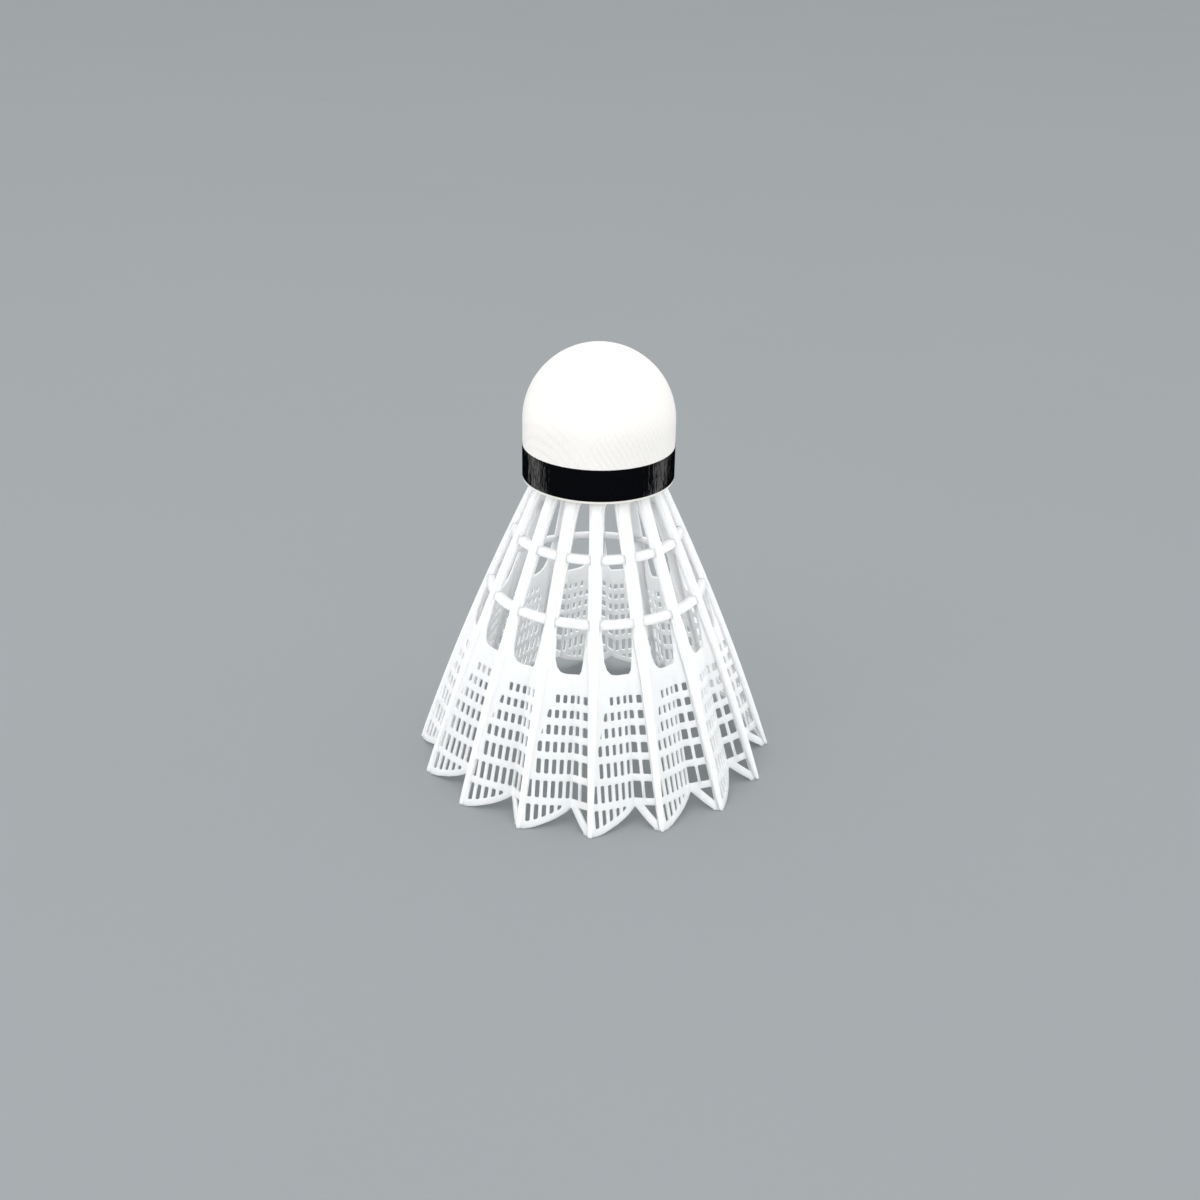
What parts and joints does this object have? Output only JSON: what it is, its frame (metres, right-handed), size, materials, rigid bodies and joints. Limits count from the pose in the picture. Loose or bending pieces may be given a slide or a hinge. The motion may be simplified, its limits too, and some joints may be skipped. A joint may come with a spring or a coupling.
{
  "type": "badminton shuttlecock",
  "caption": "Shuttlecock with a round skinned cork head, a black band and a white moulded nylon skirt of folded, slotted vanes.",
  "frame": {"origin": "middle of the circle of skirt tips, on the plane that they stand on", "axes": "+Z along the shuttle's own axis, from the skirt's open end up to the top of the head; the stem of feather 1 lies towards -Y"},
  "size_m": [0.0672, 0.0672, 0.079],
  "materials": {
    "nylon": "semi-matt natural white nylon",
    "skin": "fine-grained white polyurethane leather",
    "band": "glossy black tape",
    "cork": "raw cork"
  },
  "bodies": {
    "root": {"head_skin": "skin", "cork_core": "cork", "band_tape": "band", "skirt_hub": "nylon", "hoop_upper": "nylon", "hoop_lower": "nylon", "stem_01": "nylon", "stem_02": "nylon", "stem_03": "nylon", "stem_04": "nylon", "stem_05": "nylon", "stem_06": "nylon", "stem_07": "nylon", "stem_08": "nylon", "stem_09": "nylon", "stem_10": "nylon", "stem_11": "nylon", "stem_12": "nylon", "stem_13": "nylon", "stem_14": "nylon", "stem_15": "nylon", "stem_16": "nylon", "vane_01": "nylon", "vane_02": "nylon", "vane_03": "nylon", "vane_04": "nylon", "vane_05": "nylon", "vane_06": "nylon", "vane_07": "nylon", "vane_08": "nylon", "vane_09": "nylon", "vane_10": "nylon", "vane_11": "nylon", "vane_12": "nylon", "vane_13": "nylon", "vane_14": "nylon", "vane_15": "nylon", "vane_16": "nylon"}
  },
  "joints": []
}
